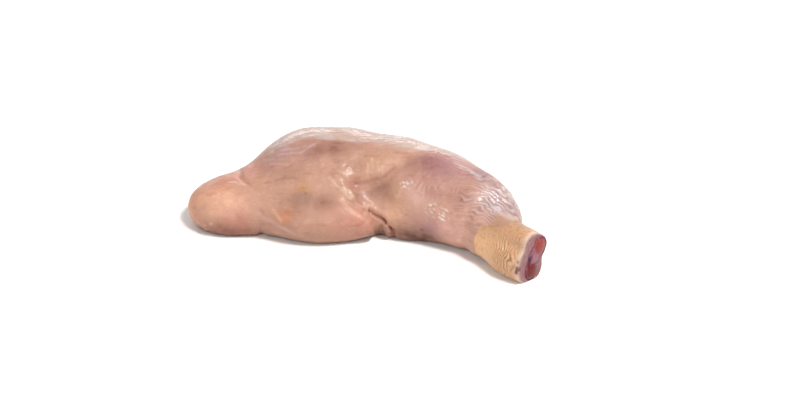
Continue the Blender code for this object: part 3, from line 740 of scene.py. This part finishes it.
# The skin's paint, laid on in this order: base, patches (some of them painted shade), the painted
# sheen along the ridge, waves (partly painted highlight and shade), painted shade close to the floor,
# the yellow skin, then strokes (some of them painted highlight), painted shade along the folds' lines,
# small lumps, and the painted highlight on the drops over all of them
def paintSkin(points, masks):
    paint = np.broadcast_to(tone(*skinTones["base"]), points.shape).copy()
    blotch = np.clip(0.9 + 0.5 * noise(points, 0.011, 21) + 0.3 * noise(points, 0.004, 22), 0.5, 1.2)
    for middle, reach, colour, strength in skinTones["patches"].values():
        paint = mixIn(paint, tone(*colour), strength * smoothMask(points, middle, reach) * blotch)
    # painted sheen along the ridge, pale and broken into threads
    paint = mixIn(paint, tone(*sheenBand["colour"]), sheenBand["strength"] * sheenBandShare(points))
    paint = paintWaves(paint, "striae", striae(points, masks))
    # paler crests and darker furrows: partly the skin's own tone, partly painted highlight and shade
    paint = paintWaves(paint, "calf", calfWaves(points) * masks["calf"] * calfPatches(points))
    # painted shade: the soft skin is darkened close to the floor
    colour, strength, height = skinTones["low"]
    foot = strength * np.exp(-points[..., 2] / height) * (1 - masks["scaly"])
    paint = mixIn(paint, tone(*colour), foot)
    paint = mixIn(paint, paintYellow(points, masks), masks["scaly"])
    for line, width, colour, strength in skinTones["strokes"].values():
        paint = mixIn(paint, tone(*colour), strength * lineShare(points, line, width) * blotch)
    # painted shade along the folds' lines
    for name, strength in skinTones["creases"].items():
        _, width, line = folds[name]
        share = lineShare(points, line, skinTones["creaseWidth"] * width)
        paint = mixIn(paint, tone(*skinTones["crease"]), strength * share)
    for bit in bits.values():
        for place in bit["places"]:
            share = bit["strength"] * smoothMask(points, place, bit["reach"])
            paint = mixIn(paint, tone(*bit["colour"]), share)
    # painted highlight: near-white glints on the wet drops
    colour, strength = skinTones["drops"]
    paint = mixIn(paint, tone(*colour), strength * masks["drops"] * wetDrops(points))
    return paint * skinTones["depth"]


# The cut face from its rim, where part is 0, in to the bone, where it is 1
def paintCut(points, part):
    up, across = onFace(points)
    paint = np.broadcast_to(tone(*cutTones["flesh"]), points.shape)
    paint = mixIn(paint, tone(*cutTones["inner"]), easeStep(part, 0.5, 1.0))
    colour, strength = cutTones["pale"]
    paint = mixIn(paint, tone(*colour), strength * np.clip(noise(points, 0.0022, 61), 0, 1))
    paint = mixIn(paint, tone(*cutTones["edge"]), 1 - easeStep(part, 0.05, 0.22))
    colour, strength, middle, reach = cutTones["spot"]
    away = np.hypot(up - middle[0], across - middle[1]) / reach
    return mixIn(paint, tone(*colour), strength * np.exp(-away ** 2)) * skinTones["depth"]


# The cut bone: red over each knuckle, lilac gristle between them with a dark pit
def paintBone(points):
    up, across = onFace(points)
    paint = np.broadcast_to(tone(*cutTones["gristle"]), points.shape)
    for name, colour in cutTones["knuckles"].items():
        away = fromKnuckle(up, across, bone["ends"][name]) + 0.25 * noise(points, 0.0018, 62)
        paint = mixIn(paint, tone(*colour), 1 - easeStep(away, 0.82, 1.12))
    for name in ("glint", "pit"):
        colour, middle, reach = cutTones[name]
        away = np.hypot((up - middle[0]) / reach[0], (across - middle[1]) / reach[1])
        paint = mixIn(paint, tone(*colour), np.exp(-away ** 2))
    return paint * skinTones["depth"]


# The shin bone and the red marrow in its two knuckles

bone = {
    "knee": (0.0138, 0.01465, 0.0205),
    "ankle": (0.0743, -0.02935, 0.017),
    "shaftRadius": 0.0042,
    "knobRadius": 0.0085,
    "ends": {  # up, across and radius of what shows on the cut face
        "upper": (0.0066, 0.0031, 0.0046),
        "middle": (-0.0006, 0.0011, 0.0036),
        "lower": (-0.0081, 0.0022, 0.0047)},
    "tallness": 1.26,  # how much taller than wide each knuckle is
    "pastCut": 0.012,
    "gap": 0.00012,    # between the bone and the flesh around it
    "dome": 0.0010,
    "pitDepth": 0.0016, "pitReach": (0.0024, 0.0011),
    "grain": 0.00012,
    "faceRings": 12,
    "spokes": 96, "noseRings": 12, "longest": 0.03,
    "pitch": ((0, 0.7, 1), (0.0022, 0.0014, 0.0005)),
}
marrow = {
    "upper": {"up": 0.0066, "across": 0.0031, "radius": 0.0042},
    "lower": {"up": -0.0081, "across": 0.0022, "radius": 0.0043},
    "depth": 0.022,
    "thinEnd": 0.4,    # radius of the inner end, as a share of the outer one
    "pastCut": 0.012,
    "proud": 0.0007, "bulge": 0.0007,
    "grain": 0.00010,
    "faceRings": 10,
    "spokes": 72, "noseRings": 8, "longest": 0.02,
    "pitch": ((0, 1), (0.0014, 0.0005)),
}


# The bone's distance: a shaft with a knob at the knee, and at the hock an arm to each knuckle
def boneField(points):
    knee, ankle = np.array(bone["knee"]), np.array(bone["ankle"])
    shape = rod(points, knee, ankle, (bone["shaftRadius"], bone["shaftRadius"]))
    knob = np.linalg.norm(points - knee, axis=-1) - bone["knobRadius"]
    shape = blend(shape, knob, leg["fleshBlend"])
    for up, across, radius in bone["ends"].values():
        end = atCut(up, across)
        pastCut = end + bone["pastCut"] * unit(end - ankle)
        arm = rod(points, ankle, pastCut, (bone["shaftRadius"], radius), 0.0, bone["tallness"])
        shape = blend(shape, arm, leg["knuckleBlend"])
    return shape


def onFace(points):  # a point's place on the cut face: how far up it and how far across it
    offset = points - hock
    return offset @ cutLong, offset @ cutWide


def fromKnuckle(up, across, end):  # 0 at a knuckle's middle, 1 at its rim
    middleUp, middleAcross, radius = end
    return np.hypot((up - middleUp) / bone["tallness"], across - middleAcross) / radius


# Height of the cut bone over the cut's plane: a low dome over each knuckle, a pit between them
def boneFaceHeight(up, across):
    height = np.zeros(up.shape)
    for end in bone["ends"].values():
        dome = np.clip(1 - fromKnuckle(up, across, end) ** 2, 0, 1)
        height = np.maximum(height, bone["dome"] * dome)
    _, (pitUp, pitAcross), _ = cutTones["pit"]
    pit = np.hypot((up - pitUp) / bone["pitReach"][0], (across - pitAcross) / bone["pitReach"][1])
    return height - bone["pitDepth"] * np.exp(-pit ** 2)


# The marrow's distance, a taper from inside the ankle to past the cut, with its two ends
def marrowField(name):
    place = marrow[name]
    end = atCut(place["up"], place["across"])
    into = unit(np.array(bone["ankle"]) - end)
    start = end + marrow["depth"] * into
    radii = (marrow["thinEnd"] * place["radius"], place["radius"])
    outer = end - marrow["pastCut"] * into
    return lambda points: rod(points, start, outer, radii, 0.0, bone["tallness"]), start, end


cutFlesh = {  # the flesh between the skin's rim and the bone
    "rings": 17,
    "leastWidth": 0.0006,
    "swell": 0.00035,  # how far it swells out of the cut's plane near the rim
    "sink": 0.0003,    # and how far it sinks towards the bone
    "grain": 0.00018,
    "socket": 0.003,
}


# Rings that close the skin over the cut, from the rim in to the bone and then down into its socket,
# with each ring's part of the way in
def closeCut(rim):
    way = unit(rim - hock)
    start = np.broadcast_to(hock, rim.shape)[None]
    inner = spokeLengths(lambda points: boneField(points) - bone["gap"], start, way[None], bone["longest"])
    outer = np.linalg.norm(rim - hock, axis=-1)
    inner = np.minimum(inner[0], outer - cutFlesh["leastWidth"])
    parts = np.linspace(0, 1, cutFlesh["rings"] + 1)[1:]
    face = []
    for part in parts:
        swell = cutFlesh["swell"] * math.sin(math.pi * min(part * 2.2, 1))
        ring = hock + way * (outer + (inner - outer) * part)[:, None]
        lift = swell - cutFlesh["sink"] * part + cutFlesh["grain"] * noise(ring, 0.0016, 31)
        face.append(ring + cutNormal * lift[:, None])
    face.append(face[-1] - cutNormal * cutFlesh["socket"])
    return np.stack(face), np.append(parts, 1.0)


# Rings from the rim of a bone or plug in to the middle of its face, lifted out of the cut's plane
def closeFace(rim, middle, count, liftAt):
    face = []
    for part in np.linspace(0, 1, count + 2)[1:-1]:
        ring = rim + (middle - rim) * part
        face.append(ring + cutNormal * liftAt(ring, part)[:, None])
    return np.stack(face)


def finishPiece(piece, node):
    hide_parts(node)
    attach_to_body(piece, "root")
    return piece


def makeLeg():
    angles = spokeAngles(leg["spokes"], math.radians(leg["fullest"]), leg["sparsest"])
    rings = findSkin(fleshField, leg["middleLine"], leg["pitch"], angles, leg["noseRings"], leg["longest"])
    print("leg: skin found,", rings.shape)
    outward = outwardOf(fleshField, rings)
    fade = easeStep(np.linalg.norm(rings - rings[:1, :1], axis=-1), 0, leg["noseFade"])
    height = reliefHeight(rings, skinMasks(rings)) * fade
    rings = restOnFloor(rings + outward * height[..., None])
    tip = rings[0].mean(axis=0)
    rim = rings[-1] - ((rings[-1] - hock) @ cutNormal)[:, None] * cutNormal
    face, parts = closeCut(rim)
    rings = np.concatenate((rings[1:-1], rim[None], face))
    last = rings[-1].mean(axis=0)
    piece = ringMesh("legSkin", tip, rings, last)
    points = np.vstack((tip[None], rings.reshape(-1, 3), last[None]))
    masks = skinMasks(points)
    paint = paintSkin(points, masks)
    faceCount = leg["spokes"] * len(face) + 1
    part = np.append(np.repeat(parts, leg["spokes"]), 1.0)
    paint[-faceCount:] = paintCut(points[-faceCount:], part)
    masks["onCut"] = np.zeros(len(points))
    masks["onCut"][-faceCount:] = 1
    attach(piece, "paint", paint)
    for name in ("scaly", "calf", "wet", "drawn", "onCut"):
        attach(piece, name, masks[name])
    return finishPiece(piece, "leg")


def makeBone():
    knee, ankle = np.array(bone["knee"]), np.array(bone["ankle"])
    middle = atCut(*bone["ends"]["middle"][:2])
    corners = [tuple(knee + part * (ankle - knee)) for part in (0, 1 / 3, 2 / 3, 1)]
    corners.append(tuple(middle))
    angles = np.linspace(0, 2 * np.pi, bone["spokes"], endpoint=False)
    rings = findSkin(boneField, corners, bone["pitch"], angles, bone["noseRings"], bone["longest"])
    face = closeFace(rings[-1], middle, bone["faceRings"], lambda ring, part: (
        boneFaceHeight(*onFace(ring)) + bone["grain"] * noise(ring, 0.0012, 41)))
    tip = rings[0].mean(axis=0)
    rings = np.concatenate((rings[1:], face))
    last = middle + cutNormal * boneFaceHeight(*onFace(middle))
    piece = ringMesh("shinBone", tip, rings, last)
    attach(piece, "paint", paintBone(np.vstack((tip, rings.reshape(-1, 3), last))))
    return finishPiece(piece, "shin_bone")


def makeMarrow(name, node):
    field, start, end = marrowField(name)
    angles = np.linspace(0, 2 * np.pi, marrow["spokes"], endpoint=False)
    corners = (tuple(start), tuple((start + end) / 2), tuple(end))
    rings = findSkin(field, corners, marrow["pitch"], angles, marrow["noseRings"], marrow["longest"])
    face = closeFace(rings[-1], end, marrow["faceRings"], lambda ring, part: (
        marrow["proud"] + marrow["bulge"] * (1 - (1 - part) ** 2)
        + marrow["grain"] * noise(ring, 0.0010, 51)))
    last = end + cutNormal * (marrow["proud"] + marrow["bulge"])
    rings = np.concatenate((rings, face))
    piece = ringMesh("marrow" + name.capitalize(), rings[0].mean(axis=0), rings[1:], last)
    return finishPiece(piece, node)


# Materials

class Link:  # a socket that can be used in sums, and that makes the nodes it leads to
    def __init__(self, tree, socket=None):
        self.tree = tree
        self.socket = socket

    # Any node: its type, its settings, then the values or links of its sockets
    def node(self, kind, settings, inputs, output=0):
        made = self.tree.nodes.new(kind)
        made.location = (len(self.tree.nodes) % 9 * 220 - 2200, len(self.tree.nodes) // 9 * -280)
        for name, value in settings.items():
            setattr(made, name, value)
        for name, value in inputs.items():
            if isinstance(value, Link):
                self.tree.links.new(value.socket, made.inputs[name])
            else:
                made.inputs[name].default_value = value
        return Link(self.tree, made.outputs[output])

    def math(self, operation, first, second=0.0):
        return self.node("ShaderNodeMath", {"operation": operation}, {0: first, 1: second})

    def __add__(self, other):
        return self.math("ADD", self, other)

    def __sub__(self, other):
        return self.math("SUBTRACT", self, other)

    def __rsub__(self, other):
        return self.math("SUBTRACT", other, self)

    def __mul__(self, other):
        return self.math("MULTIPLY", self, other)

    __radd__ = __add__
    __rmul__ = __mul__

    def clip(self):
        return self.node("ShaderNodeClamp", {}, {"Value": self})

    def between(self, low, high):  # 0 at low, 1 at high
        return self.node("ShaderNodeMapRange", {"interpolation_type": "SMOOTHSTEP"},
                         {"Value": self, "From Min": low, "From Max": high})

    def mix(self, first, second, share, blendType="MIX"):
        return self.node("ShaderNodeMix", {"data_type": "RGBA", "blend_type": blendType},
                         {0: share, 6: first, 7: second}, 2)

    def read(self, name, colour=False):  # one of the mesh's own attributes
        return self.node("ShaderNodeAttribute", {"attribute_name": name}, {}, "Color" if colour else "Fac")


def laidOn(shade):  # a colour as it is seen, laid on as dark as the rest of the paint
    return (*tone(*shade) * skinTones["depth"], 1)


def startMaterial(name, fixed):
    material = bpy.data.materials.new(name)
    material.use_nodes = True
    shader = material.node_tree.nodes["Principled BSDF"]
    for socket, value in fixed.items():
        shader.inputs[socket].default_value = value
    maker = Link(material.node_tree)
    place = maker.node("ShaderNodeTexCoord", {}, {}, "Object")
    return material, shader, maker, place


def finish(material, shader, maker, colour, roughness, coat, height, strength, distance):
    bump = maker.node("ShaderNodeBump", {}, {"Strength": strength, "Distance": distance, "Height": height})
    for socket, link in (("Base Color", colour), ("Roughness", roughness), ("Coat Weight", coat),
                         ("Normal", bump)):
        material.node_tree.links.new(link.socket, shader.inputs[socket])
    return material


def noiseOf(maker, place, size, detail=3, rough=0.5, seed=0.0):
    return maker.node("ShaderNodeTexNoise", {"noise_dimensions": "4D"},
                      {"Vector": place, "W": seed, "Scale": 1 / size, "Detail": detail, "Roughness": rough})


def drawnOut(maker, place, degrees, scale):  # the place turned about Z and stretched along each axis
    return maker.node("ShaderNodeMapping", {}, {
        "Vector": place, "Rotation": (0, 0, math.radians(degrees)), "Scale": scale})


# The skin: the mesh's own paint, tinted by mottling, streaks and specks, and wet where the mesh
# says so. The sizes of the fine patterns are in metres
def makeSkinMaterial():
    material, shader, maker, place = startMaterial("raw skin", {
        "Subsurface Weight": 0.10, "Subsurface Radius": (1.0, 0.38, 0.22), "Subsurface Scale": 0.0025,
        "Coat Roughness": 0.10, "Coat IOR": 1.4, "IOR": 1.38})
    scaly, calf, wet, onCut, drawn = [
        maker.read(name) for name in ("scaly", "calf", "wet", "onCut", "drawn")]
    soft = 1 - scaly
    mottle = noiseOf(maker, place, 0.006, 4, 0.55, 1.0)
    speck = noiseOf(maker, place, 0.0013, 3, 0.6, 2.0)
    streak = noiseOf(maker, drawnOut(maker, place, -8, (0.35, 1.2, 1.2)), 0.004, 4, 0.6, 3.0)
    scaleSpeck = noiseOf(maker, place, 0.0016, 3, 0.6, 4.0)
    colour = maker.read("paint", colour=True)
    for tint, share in (
            ((1.11, 1.12, 1.13, 1), mottle.between(0.48, 0.70) * soft),
            ((0.84, 0.76, 0.74, 1), streak.between(0.52, 0.70) * soft * 0.8),
            ((1.24, 1.27, 1.30, 1), speck.between(0.56, 0.72) * 0.8),
            ((0.78, 0.68, 0.58, 1), scaleSpeck.between(0.50, 0.70) * scaly * 0.8)):
        colour = maker.mix(colour, tint, share, "MULTIPLY")
    roughness = 0.46 + speck * 0.14 - mottle * 0.10 - calf * 0.08 - onCut * 0.10
    coat = ((mottle.between(0.45, 0.65) * 0.07 + 0.05) * soft + wet * 0.6 + onCut * 0.3 + 0.03).clip()
    pores = maker.node("ShaderNodeTexVoronoi", {"feature": "SMOOTH_F1"}, {
        "Vector": place, "Scale": 1 / 0.0021, "Smoothness": 0.6})
    height = speck * 0.5 + noiseOf(maker, place, 0.0005, 2, 0.5, 5.0) * 0.25 + pores * 0.5
    threads = noiseOf(maker, drawnOut(maker, place, 12, (0.16, 1.0, 1.0)), 0.0010, 3, 0.55, 8.0)
    height = height + threads * drawn * 2.2
    return finish(material, shader, maker, colour, roughness, coat, height, 0.55, 0.00022)


cutFinishes = {  # the gristle has no main colour, as the mesh's own paint gives it
    "wet gristle": {"pale": (204, 150, 156), "dark": (110, 48, 60),
                    "paleShare": 0.3, "roughness": 0.25, "coat": 0.35},
    "bright marrow": {"main": (166, 58, 50), "pale": (192, 96, 84), "dark": (130, 30, 30),
                      "paleShare": 0.6, "roughness": 0.32, "coat": 0.10},
    "dark marrow": {"main": (122, 2, 6), "pale": (152, 26, 26), "dark": (76, 2, 8),
                    "paleShare": 0.6, "roughness": 0.36, "coat": 0.04},
}


def makeCutMaterial(name):
    material, shader, maker, place = startMaterial(name, {
        "Subsurface Weight": 0.15, "Subsurface Radius": (1.0, 0.3, 0.2), "Subsurface Scale": 0.002,
        "Coat Roughness": 0.08, "Coat IOR": 1.4, "IOR": 1.4})
    look = cutFinishes[name]
    grain = noiseOf(maker, place, 0.0018, 4, 0.6, 6.0)
    fine = noiseOf(maker, place, 0.0006, 3, 0.6, 7.0)
    colour = laidOn(look["main"]) if "main" in look else maker.read("paint", colour=True)
    colour = maker.mix(colour, laidOn(look["pale"]), grain.between(0.50, 0.70) * look["paleShare"])
    colour = maker.mix(colour, laidOn(look["dark"]), fine.between(0.52, 0.72) * 0.5)
    roughness = fine * 0.2 + look["roughness"]
    coat = grain * 0.3 + look["coat"]
    return finish(material, shader, maker, colour, roughness, coat, fine + grain * 0.5, 0.6, 0.0003)


legSkin = makeLeg()
legSkin.data.materials.append(makeSkinMaterial())
print("leg: made,", len(legSkin.data.polygons), "faces")

shinBone = makeBone()
shinBone.data.materials.append(makeCutMaterial("wet gristle"))
marrowUpper = makeMarrow("upper", "marrow_upper")
marrowUpper.data.materials.append(makeCutMaterial("bright marrow"))
marrowLower = makeMarrow("lower", "marrow_lower")
marrowLower.data.materials.append(makeCutMaterial("dark marrow"))
print("bone and marrow: made")


# Floor, light and camera

room = {
    "floorTone": (250, 249, 248), "floorHalf": 6.0,
    "worldStrength": 0.34,
    "target": (0.0212, 0.00365, 0.0165),
    "camera": {"distance": 1.307, "elevation": 30, "lens": 100, "sensor": 36},
    "lights": {  # place, size along and across, power and colour
        "backLight": ((0.05, 1.25, 0.36), (1.6, 0.24), 6.5, (1.0, 1.0, 1.0)),
        "topLight": ((0.44, -0.30, 1.08), (0.40, 0.30), 15.5, (1.0, 0.985, 0.97)),
        "frontFill": ((-0.50, -1.00, 0.75), (0.8, 0.6), 5, (1.0, 0.97, 0.95)),
    },
}


def makeFloor():
    mesh = bpy.data.meshes.new("floor")
    half = room["floorHalf"]
    corners = ((-half, -half, 0), (half, -half, 0), (half, half, 0), (-half, half, 0))
    mesh.from_pydata(corners, [], ((0, 1, 2, 3),))
    floor = bpy.data.objects.new("floor", mesh)
    bpy.context.scene.collection.objects.link(floor)
    material = bpy.data.materials.new("pale floor")
    material.use_nodes = True
    shader = material.node_tree.nodes["Principled BSDF"]
    shader.inputs["Base Color"].default_value = (*tone(*room["floorTone"]), 1)
    shader.inputs["Roughness"].default_value = 0.6
    shader.inputs["Specular IOR Level"].default_value = 0.2
    mesh.materials.append(material)


def makeLights():
    world = bpy.data.worlds.new("studio")
    bpy.context.scene.world = world
    world.use_nodes = True
    world.node_tree.nodes["Background"].inputs[0].default_value = (1, 1, 1, 1)
    world.node_tree.nodes["Background"].inputs[1].default_value = room["worldStrength"]
    for name, (place, size, power, colour) in room["lights"].items():
        light = bpy.data.lights.new(name, "AREA")
        light.shape = "RECTANGLE"
        light.size, light.size_y = size
        light.energy = power
        light.color = colour
        lamp = bpy.data.objects.new(name, light)
        bpy.context.scene.collection.objects.link(lamp)
        lamp.location = place
        lamp.rotation_euler = aimAt(np.array(place), np.array(room["target"]))


def makeCamera():
    view = room["camera"]
    rise = math.radians(view["elevation"])
    camera = bpy.data.objects.new("camera", bpy.data.cameras.new("camera"))
    bpy.context.scene.collection.objects.link(camera)
    away = view["distance"] * np.array((0, -math.cos(rise), math.sin(rise)))
    camera.location = np.array(room["target"]) + away
    camera.rotation_euler = (math.pi / 2 - rise, 0, 0)
    camera.data.lens = view["lens"]
    camera.data.sensor_width = view["sensor"]
    bpy.context.scene.camera = camera
    bpy.context.scene.view_settings.view_transform = "Standard"


def aimAt(place, target):  # the turn that points a lamp's -Z at the target
    ahead = unit(target - place)
    tilt = math.acos(-ahead[2])
    return (tilt, 0, math.atan2(ahead[1], ahead[0]) - math.pi / 2)


makeFloor()
makeLights()
makeCamera()
print("room: made")
